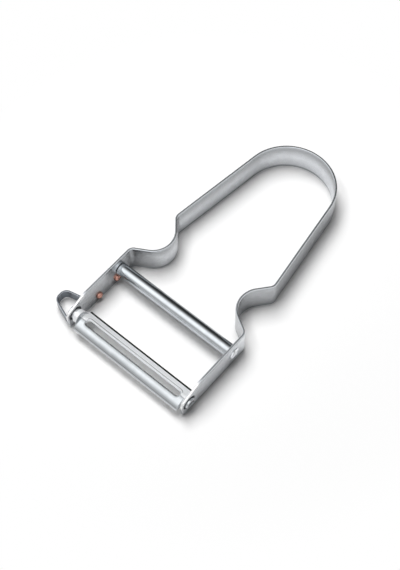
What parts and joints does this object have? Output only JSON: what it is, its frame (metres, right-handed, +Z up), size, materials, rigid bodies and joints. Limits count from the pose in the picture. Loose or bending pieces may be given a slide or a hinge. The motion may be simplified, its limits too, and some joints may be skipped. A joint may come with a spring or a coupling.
{
  "type": "vegetable peeler",
  "caption": "Hand peeler with a bent metal band as handle, a cross rod, a swinging slotted blade with two cutting edges and a riveted loop for taking out eyes.",
  "frame": {"origin": "middle of the part's box, on the plane that its lower edges rest on", "axes": "+Y from the blade to the bow of the handle, +Z up out of the flat of the tool, +X along the blade, away from the eye remover"},
  "size_m": [0.0644, 0.1108, 0.0123],
  "materials": {
    "frame_metal": "satin, with a fine long grain and burnished edges",
    "rod_metal": "polished",
    "blade_metal": "polished, with ground cutting edges",
    "loop_metal": "rolled strip",
    "rivet_metal": "copper, polished heads"
  },
  "bodies": {
    "handle": {"handle_frame": "frame_metal", "cross_rod": "rod_metal", "eye_remover": "loop_metal", "rivet_front": "rivet_metal", "rivet_rear": "rivet_metal"},
    "swivel_blade": {"blade": "blade_metal"}
  },
  "joints": [
    {"name": "blade_swivel", "type": "hinge", "parent": "handle", "child": "swivel_blade", "pos_m": [0.0043, -0.05059, 0.0061], "axis": [1, 0, 0], "range_deg": [-25, 25]}
  ]
}
